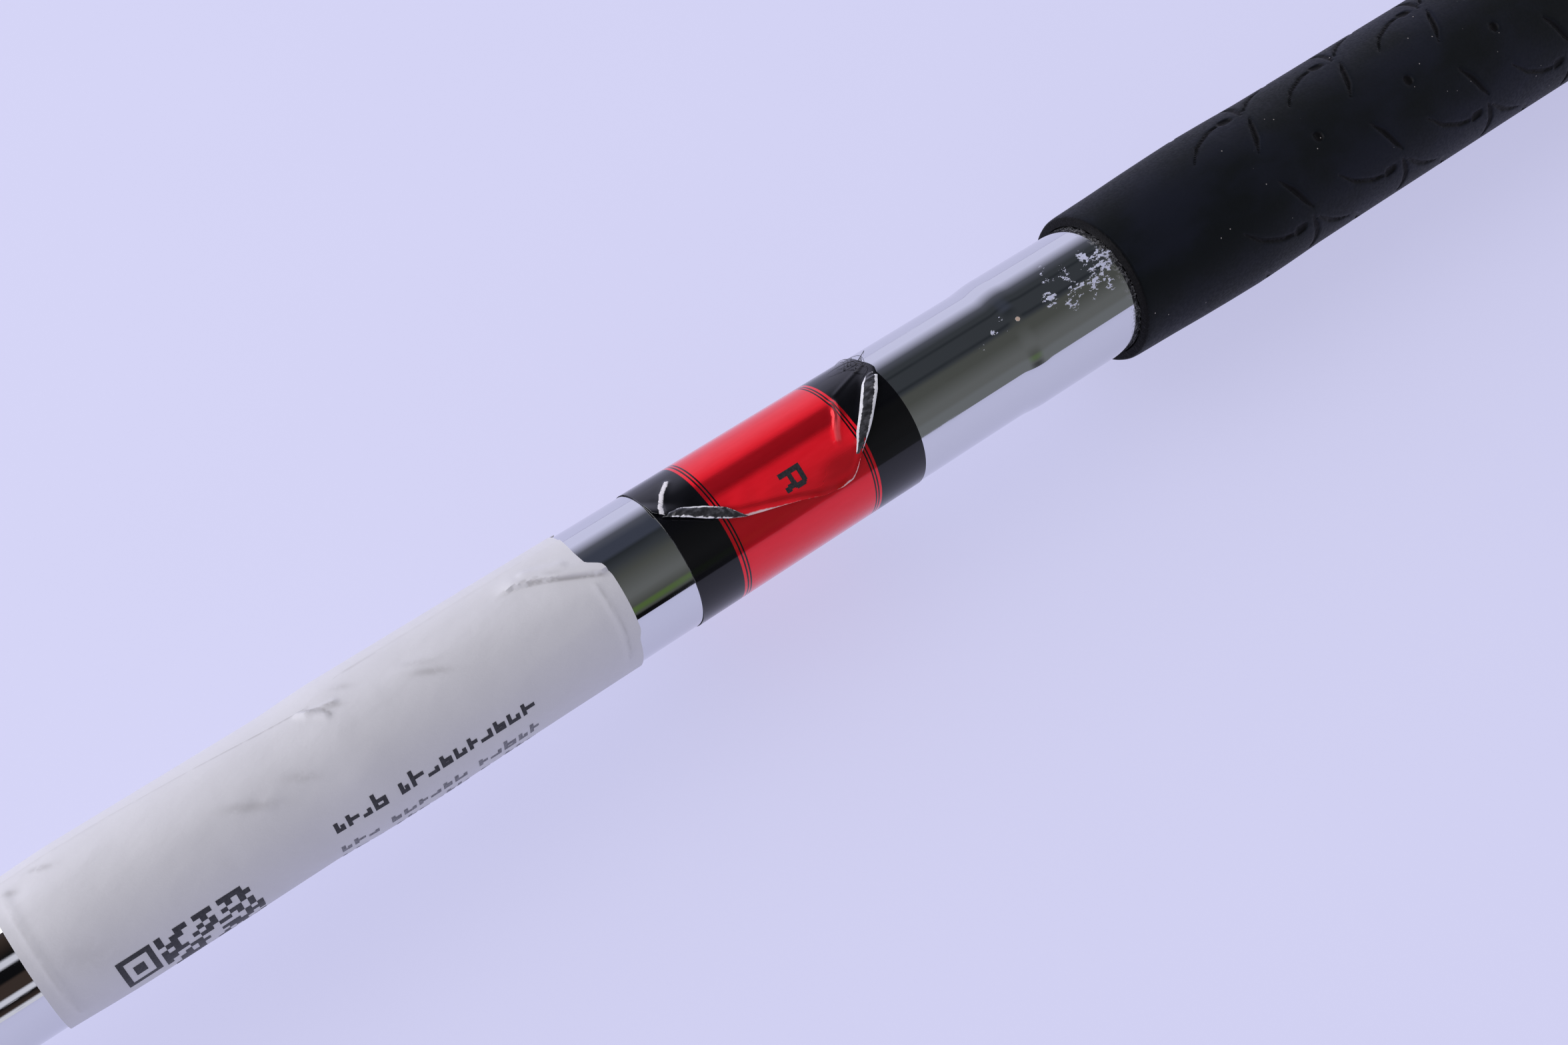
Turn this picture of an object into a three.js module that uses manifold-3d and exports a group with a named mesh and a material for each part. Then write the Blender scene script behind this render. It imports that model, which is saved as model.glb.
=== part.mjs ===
// A golf iron with a stepped steel shaft and a moulded rubber grip, lying face down on a flat surface.
// Millimetres, +Z up. The shaft runs along X, from the head at -X to the grip's butt at +X.
import * as THREE from "three";
import { ConvexGeometry } from "three/addons/geometries/ConvexGeometry.js";
import { mergeVertices } from "three/addons/utils/BufferGeometryUtils.js";
import Module from "manifold-3d";

const wasm = await Module();
wasm.setup();

// Driving dimensions. "reach" is a distance along the shaft's axis from the ground.
const clubLength = 940; // butt to ground
const lieDeg = 62.5; // shaft to ground
const loftDeg = 34; // face to vertical
const gap = 0.1; // between pieces that touch
const roundSides = 36;

// Shaft
const buttRadius = 7.62; // 0.600 in
const firstStepDrop = 0.25; // on the radius
const tipRadius = 4.7; // 0.370 in
const buttWall = 0.42;
const tipWall = 0.65;
const firstStep = clubLength - 281.2;
const secondStep = firstStep - 80;
const stepPitch = 25.4;
const laterSteps = 10;
const stepRun = 2.4; // length of each step's cone
const insertion = 31; // shaft inside the hosel

// Grip
const gripLength = 267;
const capLength = 6;
const capRadius = 13.6;
const ventRadius = 1.4;
const tapeThickness = 0.22;
const tapeSetback = 8; // from the grip's mouth

// Band and label, both wrapped on the shaft below the grip
const bandEnd = clubLength - 297.14;
const bandWidth = 28.06;
const filmThickness = 0.1;
const labelEnd = clubLength - 332;
const labelWidth = 59.2;
const labelThickness = 0.2;

// Hosel and ferrule
const hoselTop = 66;
const hoselRadius = 6.6;
// Reach and radius, from the round hosel to the heel
const neckRings = [[30, 6.6], [16, 6.7], [9, 6], [3.5, 4.4]];
// Across, up and back, where the neck runs into the blade
const heelCorners = [
  [6, 1.3, 0.3], [6, 27.5, 0], [6, 27.5, 6.4], [6, 16, 10], [6, 12, 12.3], [6, 7.5, 10.6],
];
const glueThickness = 0.25;
const boreRadius = tipRadius + glueThickness + 2 * gap;
const ferruleLength = 25;
const ringDepth = 0.35; // the line turned into the ferrule's foot

// Tip weight
const weightHead = 1.5;
const weightPin = 15;

// Blade, in its own plane: across from heel to toe, and up the face from the leading edge
const faceOffset = 3.4; // leading edge ahead of the shaft's axis
const faceThickness = 3.2;
const toplineThickness = 6.4;
const soleDepth = 19;
const badgeInset = 1.6;
const badgeThickness = 0.9;
const grooveCount = 12;
const groovePitch = 3.6;
const grooveWidth = 0.9;
const grooveDepth = 0.45;
const grooveHeel = 20;
const grooveToe = 66;
const firstGroove = 5;

// How the club lies: rolled about its shaft onto the leading edge, and tilted down to the butt.
const restRollDeg = 102.153;
const restTiltDeg = 0.115;

const rad = THREE.MathUtils.degToRad;
const shaftTip = hoselTop - insertion;
const steppedRadius = (count) =>
  count === 0
    ? buttRadius
    : buttRadius - firstStepDrop - ((count - 1) / laterSteps) * (buttRadius - firstStepDrop - tipRadius);

const materials = {
  chromePlate: new THREE.MeshStandardMaterial({ color: 0xc9ccd2, roughness: 0.08, metalness: 1 }),
  satinSteel: new THREE.MeshStandardMaterial({ color: 0xb4b6ba, roughness: 0.35, metalness: 1 }),
  rubber: new THREE.MeshStandardMaterial({ color: 0x1c1d20, roughness: 0.75, metalness: 0 }),
  blackPlastic: new THREE.MeshStandardMaterial({ color: 0x101012, roughness: 0.3, metalness: 0 }),
  redFoil: new THREE.MeshStandardMaterial({ color: 0xc8141e, roughness: 0.25, metalness: 0.6 }),
  labelPaper: new THREE.MeshStandardMaterial({ color: 0xe4e3e6, roughness: 0.8, metalness: 0 }),
  crepeTape: new THREE.MeshStandardMaterial({ color: 0xd8cfae, roughness: 0.9, metalness: 0 }),
  glue: new THREE.MeshStandardMaterial({ color: 0x9a8f6c, roughness: 0.4, metalness: 0 }),
  brass: new THREE.MeshStandardMaterial({ color: 0xb08d4a, roughness: 0.4, metalness: 1 }),
  badgePlastic: new THREE.MeshStandardMaterial({ color: 0x2a2c30, roughness: 0.4, metalness: 0.2 }),
};

// A solid of revolution about X from [reach, radius] points. A profile off the axis is closed into a ring.
function turned(profile) {
  const points = profile.map(([reach, radius]) => new THREE.Vector2(radius, reach));
  if (profile[0][1] > 0) points.push(points[0].clone());
  return new THREE.LatheGeometry(points, roundSides).rotateZ(-Math.PI / 2);
}

// A sleeve between two [reach, radius] outlines, both running the same way along the shaft.
const sleeve = (outer, inner) => turned([...outer, ...[...inner].reverse()]);

function piece(name, geometry, material) {
  const mesh = new THREE.Mesh(geometry, material);
  mesh.name = name;
  return mesh;
}

function solidOf(geometry) {
  const bare = geometry.clone();
  bare.deleteAttribute("normal");
  bare.deleteAttribute("uv");
  const merged = mergeVertices(bare, 1e-4);
  return new wasm.Manifold(
    new wasm.Mesh({
      numProp: 3,
      vertProperties: merged.attributes.position.array,
      triVerts: new Uint32Array(merged.index.array),
    }),
  );
}

function geometryOf(solid) {
  const { vertProperties, triVerts } = solid.getMesh();
  return new THREE.BufferGeometry()
    .setAttribute("position", new THREE.BufferAttribute(vertProperties, 3))
    .setIndex(new THREE.BufferAttribute(triVerts, 1));
}

function shaft() {
  const outer = [[shaftTip, tipRadius]];
  for (let count = laterSteps; count >= 0; count--) {
    const reach = count === 0 ? firstStep : secondStep - (count - 1) * stepPitch;
    outer.push([reach - stepRun / 2, steppedRadius(count + 1)]);
    outer.push([reach + stepRun / 2, steppedRadius(count)]);
  }
  outer.push([clubLength - capLength, buttRadius]);
  const lastStep = secondStep - (laterSteps - 1) * stepPitch;
  const inner = [
    [shaftTip, tipRadius - tipWall],
    [lastStep, tipRadius - tipWall],
    [secondStep, steppedRadius(1) - buttWall - 0.1],
    [firstStep, buttRadius - buttWall - 0.1],
    [firstStep + 20, buttRadius - buttWall],
    [clubLength - capLength, buttRadius - buttWall],
  ];
  return piece("shaft", sleeve(outer, inner), materials.chromePlate);
}

function gripTape() {
  const start = clubLength - gripLength + tapeSetback;
  const end = clubLength - capLength - gap;
  const inside = buttRadius + gap;
  const outside = inside + tapeThickness;
  return piece(
    "grip_tape",
    sleeve([[start, outside], [end, outside]], [[start, inside], [end, inside]]),
    materials.crepeTape,
  );
}

// The grip swells behind its mouth, necks in a little, then grows to the butt.
function gripSleeve() {
  const mouth = clubLength - gripLength;
  const outline = [
    [0, 8.5], [0.5, 8.8], [6, 9.0], [10.6, 9.2], [15, 9.36], [19.6, 9.45], [24, 9.38], [29, 9.32],
    [60, 9.42], [115, 9.95], [165, 10.75], [216, 11.7], [248, 12.6],
  ];
  const end = clubLength - capLength - gap;
  const outer = outline.map(([along, radius]) => [mouth + along, radius]);
  outer.push([end, capRadius - 0.4]);
  const snug = buttRadius + gap;
  const overTape = buttRadius + tapeThickness + 2 * gap;
  const inner = [[mouth, snug], [mouth + 6, snug], [mouth + 7, overTape], [end, overTape]];
  return piece("grip_sleeve", sleeve(outer, inner), materials.rubber);
}

function gripCap() {
  const inside = clubLength - capLength + gap;
  const profile = [
    [inside, ventRadius], [inside, capRadius - 0.4], [inside + 1.2, capRadius], [clubLength - 2, capRadius],
    [clubLength - 0.6, capRadius - 0.7], [clubLength, capRadius - 2], [clubLength, ventRadius],
  ];
  return piece("grip_cap", turned(profile), materials.rubber);
}

function flexBand() {
  const start = bandEnd - bandWidth;
  const inside = steppedRadius(1) + gap / 2;
  const outside = inside + filmThickness;
  return piece(
    "flex_band",
    sleeve([[start, outside], [bandEnd, outside]], [[start, inside], [bandEnd, inside]]),
    materials.redFoil,
  );
}

// The paper bridges the second and third steps instead of following them.
function paperLabel() {
  const start = labelEnd - labelWidth;
  const inner = [
    [start, steppedRadius(3) + gap],
    [secondStep - stepPitch + stepRun, steppedRadius(2) + gap],
    [secondStep - stepRun, steppedRadius(2) + gap],
    [secondStep + stepRun, steppedRadius(1) + gap],
    [labelEnd, steppedRadius(1) + gap],
  ];
  const outer = inner.map(([reach, radius]) => [reach, radius + labelThickness]);
  return piece("paper_label", sleeve(outer, inner), materials.labelPaper);
}

function ferrule() {
  const foot = hoselTop + gap;
  const inside = tipRadius + gap;
  const outer = [
    [foot, hoselRadius],
    [foot + 2.2, hoselRadius - 0.05],
    [foot + 2.5, hoselRadius - ringDepth],
    [foot + 3.3, hoselRadius - ringDepth],
    [foot + 3.6, hoselRadius - 0.12],
    [foot + 5.6, hoselRadius - 0.2],
    [foot + 14, hoselRadius - 0.6],
    [foot + 22, hoselRadius - 1.2],
    [foot + ferruleLength, tipRadius + 0.45],
  ];
  const inner = [[foot, inside], [foot + ferruleLength, inside]];
  return piece("ferrule", sleeve(outer, inner), materials.blackPlastic);
}

function hoselGlue() {
  const inside = tipRadius + gap;
  const outside = inside + glueThickness;
  const end = hoselTop - 0.5;
  return piece(
    "hosel_glue",
    sleeve([[shaftTip + 1, outside], [end, outside]], [[shaftTip + 1, inside], [end, inside]]),
    materials.glue,
  );
}

// A swing weight: a pin in the shaft's tip, with a head that stops it against the tip's end.
function tipWeight() {
  const pinRadius = tipRadius - tipWall - gap;
  const pinEnd = shaftTip + weightPin;
  const shoulder = shaftTip - gap;
  const headRadius = tipRadius - 0.1;
  const profile = [
    [shoulder - weightHead, 0],
    [shoulder - weightHead, headRadius],
    [shoulder, headRadius],
    [shoulder, pinRadius],
    [pinEnd - 1, pinRadius],
    [pinEnd, pinRadius - 0.8],
    [pinEnd, 0],
  ];
  return piece("tip_weight", turned(profile), materials.brass);
}

// The blade seen square to its face, from heel to toe and up from the leading edge.
function bladeOutline() {
  const shape = new THREE.Shape();
  shape.moveTo(7, 0.9);
  shape.quadraticCurveTo(40, -0.7, 69, 1);
  shape.bezierCurveTo(77, 2.8, 82, 18, 81.5, 32);
  shape.bezierCurveTo(81, 43, 76.5, 55, 68, 55);
  shape.bezierCurveTo(63, 55, 57, 48.3, 50, 45.5);
  shape.lineTo(9, 29.5);
  shape.bezierCurveTo(5, 28, 3, 24, 3, 14);
  shape.bezierCurveTo(3, 6, 4, 1.5, 7, 0.9);
  return shape;
}

// The blade seen along its face from above: the sole is widest in the middle.
function bladePlan() {
  const shape = new THREE.Shape();
  shape.moveTo(-15, -1);
  shape.lineTo(95, -1);
  shape.lineTo(95, 10);
  shape.bezierCurveTo(80, 12, 72, soleDepth + 0.5, 54, soleDepth + 0.5);
  shape.bezierCurveTo(30, soleDepth + 0.5, 14, 18, -4, 10);
  shape.lineTo(-15, 9);
  shape.closePath();
  return shape;
}

// The hollow behind the face: it follows the topline and the toe, and stops above the weighted sole.
function cavityOutline(inset) {
  const shape = new THREE.Shape();
  shape.moveTo(18 + inset, 18.5 + inset);
  shape.lineTo(66, 18.5 + inset);
  shape.bezierCurveTo(72 - inset, 18.5 + inset, 75.5 - inset, 24, 75 - inset, 32);
  shape.bezierCurveTo(74.5 - inset, 41, 72 - inset, 48.5 - inset, 68, 48.5 - inset);
  shape.bezierCurveTo(64.5, 48.5 - inset, 58, 41.6 - inset, 50, 38.5 - inset);
  shape.lineTo(18 + inset, 26 - 0.7 * inset);
  shape.closePath();
  return shape;
}

const extruded = (shape, depth) =>
  new THREE.ExtrudeGeometry(shape, { depth, bevelEnabled: false, curveSegments: 8 });

// The blade's cross-section, as [up the face, back from it]: a thin wall over a wide sole.
function bladeSection() {
  const points = [
    [64, 0], [64, toplineThickness], [26, toplineThickness + 0.4], [20.5, 8.2], [17.5, 12.6],
    [15.8, 16.4], [14.6, soleDepth - 0.8], [13.2, soleDepth], [11.8, soleDepth - 0.5], [9, 15], [6, 10.2],
    [3.4, 5.4], [1.4, 1.9], [0.7, 0.5], [0.9, 0],
  ];
  return new THREE.Shape(points.map(([up, back]) => new THREE.Vector2(up, back)));
}

// Blade parts are modelled with x across, y up the face and z back from it.
function bladePlane() {
  const plane = new THREE.Group();
  plane.position.set(0, faceOffset, 0);
  plane.rotation.x = Math.PI / 2 + rad(loftDeg);
  return plane;
}

// Everything on the head is placed from the ground point: x to the toe, y to the target, z up.
function headFrame() {
  const frame = new THREE.Group();
  frame.rotation.y = Math.PI - rad(lieDeg);
  return frame;
}

function grooved(blade) {
  const middle = (grooveHeel + grooveToe) / 2;
  let cut = blade;
  for (let line = 0; line < grooveCount; line++) {
    const groove = new THREE.BoxGeometry(grooveToe - grooveHeel, grooveWidth, 2 * grooveDepth);
    cut = cut.subtract(solidOf(groove.translate(middle, firstGroove + line * groovePitch, 0)));
  }
  return cut;
}

// Turns a shape drawn in XY, extruded along Z, so that its X, Y and Z run along the three axes given.
const laidAlong = (x, y, z) =>
  new THREE.Matrix4().makeBasis(new THREE.Vector3(...x), new THREE.Vector3(...y), new THREE.Vector3(...z));

// The blade in its own plane: its outline, section and plan met in one solid, less the cavity
// and the grooves.
function bladeSolid() {
  const sectionAcross = laidAlong([0, 1, 0], [0, 0, 1], [1, 0, 0]);
  const planUp = laidAlong([1, 0, 0], [0, 0, 1], [0, -1, 0]);
  const front = solidOf(extruded(bladeOutline(), 40).translate(0, 0, -5));
  const wedge = solidOf(extruded(bladeSection(), 110).applyMatrix4(sectionAcross).translate(-15, 0, 0));
  const plan = solidOf(extruded(bladePlan(), 80).applyMatrix4(planUp).translate(0, 70, 0));
  const cavity = solidOf(extruded(cavityOutline(0), 30).translate(0, 0, faceThickness));
  return grooved(front.intersect(wedge).intersect(plan).subtract(cavity));
}

// The neck fairs the round hosel into the flat heel of the blade.
function neckSolid(bladeToShaft) {
  const points = [];
  for (const [reach, radius] of neckRings) {
    for (let side = 0; side < roundSides; side++) {
      const angle = (side / roundSides) * 2 * Math.PI;
      points.push(new THREE.Vector3(reach, radius * Math.cos(angle), radius * Math.sin(angle)));
    }
  }
  for (const [across, up, back] of heelCorners) {
    points.push(new THREE.Vector3(across, up, back).applyMatrix4(bladeToShaft));
  }
  return solidOf(new ConvexGeometry(points));
}

function hoselSolid() {
  const foot = neckRings[0][0];
  const profile = [
    [foot, 0],
    [foot, hoselRadius - 0.1],
    [hoselTop - 0.4, hoselRadius],
    [hoselTop, hoselRadius - 0.4],
    [hoselTop, 0],
  ];
  return solidOf(turned(profile));
}

// The bore has a conical floor below the tip weight and breaks out of the hosel's top.
function boreSolid() {
  const floor = shaftTip - 3;
  const profile = [
    [floor, 0],
    [floor + 1.2, boreRadius],
    [hoselTop + 1, boreRadius],
    [hoselTop + 1, 0],
  ];
  return solidOf(turned(profile));
}

function clubHead() {
  const plane = bladePlane();
  const frame = headFrame();
  frame.add(plane);
  frame.updateMatrixWorld(true);
  const blade = solidOf(geometryOf(bladeSolid()).applyMatrix4(plane.matrixWorld));
  const whole = blade.add(neckSolid(plane.matrixWorld)).add(hoselSolid()).subtract(boreSolid());
  return piece("club_head", geometryOf(whole), materials.satinSteel);
}

function cavityBadge() {
  const outline = extruded(cavityOutline(badgeInset), badgeThickness);
  const geometry = outline.translate(0, 0, faceThickness + gap);
  const plane = bladePlane();
  plane.add(piece("cavity_badge", geometry, materials.badgePlastic));
  const frame = headFrame();
  frame.add(plane);
  return frame;
}

const club = new THREE.Group();
club.add(
  clubHead(),
  cavityBadge(),
  ferrule(),
  hoselGlue(),
  tipWeight(),
  shaft(),
  flexBand(),
  paperLabel(),
  gripTape(),
  gripSleeve(),
  gripCap(),
);
club.rotation.set(rad(restRollDeg), rad(restTiltDeg), 0, "YXZ");

// The origin is under the middle of the club, on the surface that it lies on.
const model = new THREE.Group();
model.add(club);
model.updateMatrixWorld(true);
const extent = new THREE.Box3().setFromObject(model, true);
const middle = extent.getCenter(new THREE.Vector3());
club.position.set(-middle.x, -middle.y, -extent.min.z);

export default model;
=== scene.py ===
import math

import bmesh
import bpy
import numpy as np
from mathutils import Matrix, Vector
from mathutils.kdtree import KDTree


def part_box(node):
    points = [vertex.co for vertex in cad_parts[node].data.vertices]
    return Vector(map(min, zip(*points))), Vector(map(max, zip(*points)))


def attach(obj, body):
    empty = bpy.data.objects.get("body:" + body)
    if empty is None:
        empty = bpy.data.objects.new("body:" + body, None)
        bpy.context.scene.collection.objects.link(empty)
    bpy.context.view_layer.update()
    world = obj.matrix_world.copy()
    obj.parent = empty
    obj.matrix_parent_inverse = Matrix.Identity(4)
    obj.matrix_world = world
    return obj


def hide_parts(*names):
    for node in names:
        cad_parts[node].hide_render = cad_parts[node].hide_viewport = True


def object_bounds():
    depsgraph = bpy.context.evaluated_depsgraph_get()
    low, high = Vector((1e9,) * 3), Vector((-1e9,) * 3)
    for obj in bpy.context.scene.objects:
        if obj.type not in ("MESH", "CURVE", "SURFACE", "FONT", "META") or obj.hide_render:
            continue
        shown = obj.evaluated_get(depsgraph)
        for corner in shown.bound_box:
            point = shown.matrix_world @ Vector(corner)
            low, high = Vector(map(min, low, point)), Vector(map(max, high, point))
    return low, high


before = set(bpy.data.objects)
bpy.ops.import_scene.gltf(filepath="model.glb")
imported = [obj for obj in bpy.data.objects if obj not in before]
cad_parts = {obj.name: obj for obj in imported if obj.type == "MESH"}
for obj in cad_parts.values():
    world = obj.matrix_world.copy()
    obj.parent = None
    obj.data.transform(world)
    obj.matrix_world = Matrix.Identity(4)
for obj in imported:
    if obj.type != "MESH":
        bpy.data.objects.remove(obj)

CAD_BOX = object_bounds()
MM = 0.001

# ------------ the shaft's own directions
# Places on the club are given as mm along the shaft, degrees round it and mm from its axis. Zero along is
# under the letter on the band, and positive towards the grip. Zero degrees faces the camera, and positive
# turns down.


def middle(node):
    low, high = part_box(node)
    return (low + high) / 2


CAMERA_SIDE_TILT = math.radians(59.4)
LETTER_OFF_MIDDLE = 0.7
ALONG = (middle("grip_cap") - middle("ferrule")).normalized()
LEVEL = Vector((0, -1, 0))
FRONT = math.cos(CAMERA_SIDE_TILT) * LEVEL + math.sin(CAMERA_SIDE_TILT) * LEVEL.cross(ALONG)
SIDE = ALONG.cross(FRONT)
ORIGIN = middle("flex_band") - LETTER_OFF_MIDDLE * MM * ALONG


def along_of(x):
    return (x - ORIGIN.x) / ALONG.x / MM


def on_shaft(along, turn, radius):
    """World positions in metres, as an array, of places given in mm and degrees."""
    along, turn, radius = np.broadcast_arrays(along, np.radians(turn), radius)
    ways = np.array([ALONG, FRONT, SIDE])
    places = np.stack([along, radius * np.cos(turn), radius * np.sin(turn)], -1)
    return np.array(ORIGIN) + MM * places @ ways


TIP = along_of(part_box("shaft")[0].x)
FERRULE_FOOT = along_of(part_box("ferrule")[0].x)
LABEL_START, LABEL_END = (along_of(corner.x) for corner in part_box("paper_label"))
BAND_START, BAND_END = (along_of(corner.x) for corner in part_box("flex_band"))
MOUTH = along_of(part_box("grip_sleeve")[0].x)
CAP_START, BUTT = (along_of(corner.x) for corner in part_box("grip_cap"))

# Radii in mm. The first step shows just below the grip, and the later ones all drop by the same amount.
BUTT_RADIUS = 7.62
BAND_RADIUS = 7.37
TIP_RADIUS = 4.7
FIRST_STEP = MOUTH - 14.2
SECOND_STEP = FIRST_STEP - 80
STEP_PITCH = 25.4
LATER_STEPS = 10
LATER_DROP = (BAND_RADIUS - TIP_RADIUS) / LATER_STEPS
STEP_RUN = 3.4
STEPS = [SECOND_STEP - count * STEP_PITCH for count in range(LATER_STEPS)]


def soft_step(value, start, end):
    """0 before start, 1 past end, and smooth between them."""
    t = np.clip((np.asarray(value, float) - start) / (end - start), 0, 1)
    return t * t * (3 - 2 * t)


def shaft_radius(along):
    """The stepped shaft's radius in mm. A step is a short cone with soft shoulders."""
    half = STEP_RUN / 2
    radius = TIP_RADIUS
    for step in STEPS:
        radius = radius + LATER_DROP * soft_step(along, step - half, step + half)
    return radius + (BUTT_RADIUS - BAND_RADIUS) * soft_step(along, FIRST_STEP - half, FIRST_STEP + half)


# ------------ mesh making

SHARP_EDGE = math.radians(40)


def grid_faces(rows, columns, joined, first=0):
    """The quads of a grid of points. When joined, the last column meets the first."""
    row, column = np.meshgrid(np.arange(rows - 1), np.arange(columns - (not joined)), indexing="ij")
    after = (column + 1) % columns
    here = row * columns
    above = here + columns
    corners = [here + column, here + after, above + after, above + column]
    return first + np.stack(corners, -1).reshape(-1, 4)


def add_object(name, data):
    thing = bpy.data.objects.new(name, data)
    bpy.context.collection.objects.link(thing)
    return thing


def mesh_piece(name, points, faces, material, facts=None):
    """A closed mesh with its faces turned outward. facts are named values per point, for the material."""
    mesh = bpy.data.meshes.new(name)
    mesh.from_pydata(points.reshape(-1, 3).tolist(), [], faces.tolist())
    for fact, values in (facts or {}).items():
        layer = mesh.attributes.new(fact, "FLOAT", "POINT")
        layer.data.foreach_set("value", np.ascontiguousarray(values, np.float32).ravel())
    solid = bmesh.new()
    solid.from_mesh(mesh)
    bmesh.ops.recalc_face_normals(solid, faces=solid.faces)
    solid.to_mesh(mesh)
    solid.free()
    mesh.materials.append(material)
    mesh.shade_smooth()
    mesh.set_sharp_from_angle(angle=SHARP_EDGE)
    piece = add_object(name, mesh)
    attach(piece, "root")
    return piece


def shell(name, along, turn, radius, inner_radius, material, facts):
    """A thin solid between two radii over one grid of places, closed along its four borders."""
    rows, columns = along.shape
    count = along.size
    faces = [grid_faces(rows, columns, joined=False, first=first) for first in (0, count)]
    index = np.arange(count).reshape(rows, columns)
    for border in (index[0], index[-1], index[:, 0], index[:, -1]):
        start = border[:-1]
        after = border[1:]
        faces.append(np.stack([start, after, after + count, start + count], -1))
    points = np.stack([on_shaft(along, turn, radius), on_shaft(along, turn, inner_radius)])
    doubled = {fact: np.stack([values, values]) for fact, values in facts.items()}
    return mesh_piece(name, points, np.concatenate(faces), material, doubled)


def rounded(profile, size, steps=4):
    """A closed outline of (along, radius) points with each corner turned into a small curve."""
    points = [Vector(point) for point in profile]
    result = []
    for before, corner, after in zip(points[-1:] + points[:-1], points, points[1:] + points[:1]):
        to_before = before - corner
        to_after = after - corner
        start = corner + to_before * min(0.45, size / to_before.length)
        end = corner + to_after * min(0.45, size / to_after.length)
        for step in range(steps + 1):
            t = step / steps
            result.append((1 - t) ** 2 * start + 2 * t * (1 - t) * corner + t * t * end)
    return result


def turned(name, outline, sides, material):
    """A ring turned about the shaft from a closed outline of (along, radius) points in mm."""
    along, radius = np.array(outline).T[:, :, None]
    turn = np.arange(sides) * 360 / sides
    faces = grid_faces(len(outline) + 1, sides, joined=True) % (len(outline) * sides)
    facts = {"along": along + 0 * turn}
    return mesh_piece(name, on_shaft(along, turn, radius), faces, material, facts)


def path_distance(along, turn, path, radius=BAND_RADIUS):
    """Distance in mm, over the surface, from each place to a path of (along, turn) points."""
    arc = radius * np.radians(turn)
    nearest = np.full(np.shape(along), 1e3)
    corners = [(point[0], radius * math.radians(point[1])) for point in path]
    for (x0, y0), (x1, y1) in zip(corners, corners[1:]):
        dx = x1 - x0
        dy = y1 - y0
        t = np.clip(((along - x0) * dx + (arc - y0) * dy) / (dx * dx + dy * dy), 0, 1)
        nearest = np.minimum(nearest, np.hypot(along - x0 - t * dx, arc - y0 - t * dy))
    return nearest


# ------------ material making


def set_up(thing, settings):
    for setting, value in settings.items():
        setattr(thing, setting, value)


class Nodes:
    """Short ways to add nodes to a tree."""

    def __init__(self, tree):
        self.tree = tree

    def node(self, kind, inputs=(), **settings):
        node = self.tree.nodes.new(kind)
        set_up(node, settings)
        for socket, value in dict(inputs).items():
            self.feed(node.inputs[socket], value)
        return node

    def feed(self, socket, value):
        if isinstance(value, bpy.types.NodeSocket):
            self.tree.links.new(value, socket)
        else:
            socket.default_value = value

    def math(self, operation, first, second=0.0, clamp=False):
        node = self.node("ShaderNodeMath", {0: first, 1: second}, operation=operation, use_clamp=clamp)
        return node.outputs[0]

    def product(self, first, second):
        return self.math("MULTIPLY", first, second)

    def rest(self, value):
        """What is left of 1, and never less than 0."""
        return self.math("SUBTRACT", 1.0, value, clamp=True)

    def between(self, value, low, high, to_low=0.0, to_high=1.0):
        inputs = {"Value": value, "From Min": low, "From Max": high, "To Min": to_low, "To Max": to_high}
        return self.node("ShaderNodeMapRange", inputs, interpolation_type="SMOOTHSTEP").outputs[0]

    def mix(self, factor, first, second):
        """Two colours, mixed."""
        inputs = {0: factor, 6: first, 7: second}
        return self.node("ShaderNodeMix", inputs, data_type="RGBA").outputs[2]

    def blend(self, factor, first, second):
        """Two numbers, mixed."""
        inputs = {0: factor, 2: first, 3: second}
        return self.node("ShaderNodeMix", inputs, data_type="FLOAT").outputs[0]


class Paint(Nodes):
    """A material, with short ways to build its look."""

    def __init__(self, name, **sockets):
        self.material = bpy.data.materials.new(name)
        self.material.use_nodes = True
        super().__init__(self.material.node_tree)
        self.shader = self.tree.nodes["Principled BSDF"]
        for socket, value in sockets.items():
            self.shader.inputs[socket.replace("_", " ")].default_value = value

    def drive(self, socket, value):
        self.feed(self.shader.inputs[socket], value)

    def fact(self, name):
        """A value that the mesh holds for each point."""
        return self.node("ShaderNodeAttribute", attribute_name=name).outputs["Fac"]

    def place(self, stretch=(1, 1, 1)):
        """The place on the club in mm, squeezed by stretch along X, Y and Z."""
        where = self.node("ShaderNodeTexCoord").outputs["Object"]
        scale = [1000 * value for value in stretch]
        return self.node("ShaderNodeVectorMath", {0: where, 1: scale}, operation="MULTIPLY").outputs[0]

    def noise(self, size, detail=3.0, stretch=(1, 1, 1), roughness=0.55):
        """Noise from about 0.25 to 0.75, with a size in mm."""
        inputs = {"Vector": self.place(stretch), "Scale": 1 / size, "Detail": detail}
        return self.node("ShaderNodeTexNoise", {**inputs, "Roughness": roughness}).outputs["Fac"]

    def cells(self, size):
        """Distance from the nearest of many scattered points."""
        inputs = {"Vector": self.place(), "Scale": 1 / size}
        return self.node("ShaderNodeTexVoronoi", inputs).outputs["Distance"]

    def bump(self, height, depth, strength=1.0):
        """Height of 1 stands depth mm proud."""
        before = self.shader.inputs["Normal"].links
        inputs = {"Height": height, "Distance": depth * MM, "Strength": strength}
        node = self.node("ShaderNodeBump", inputs)
        if before:
            self.tree.links.new(before[0].from_socket, node.inputs["Normal"])
        self.tree.links.new(node.outputs[0], self.shader.inputs["Normal"])


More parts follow.
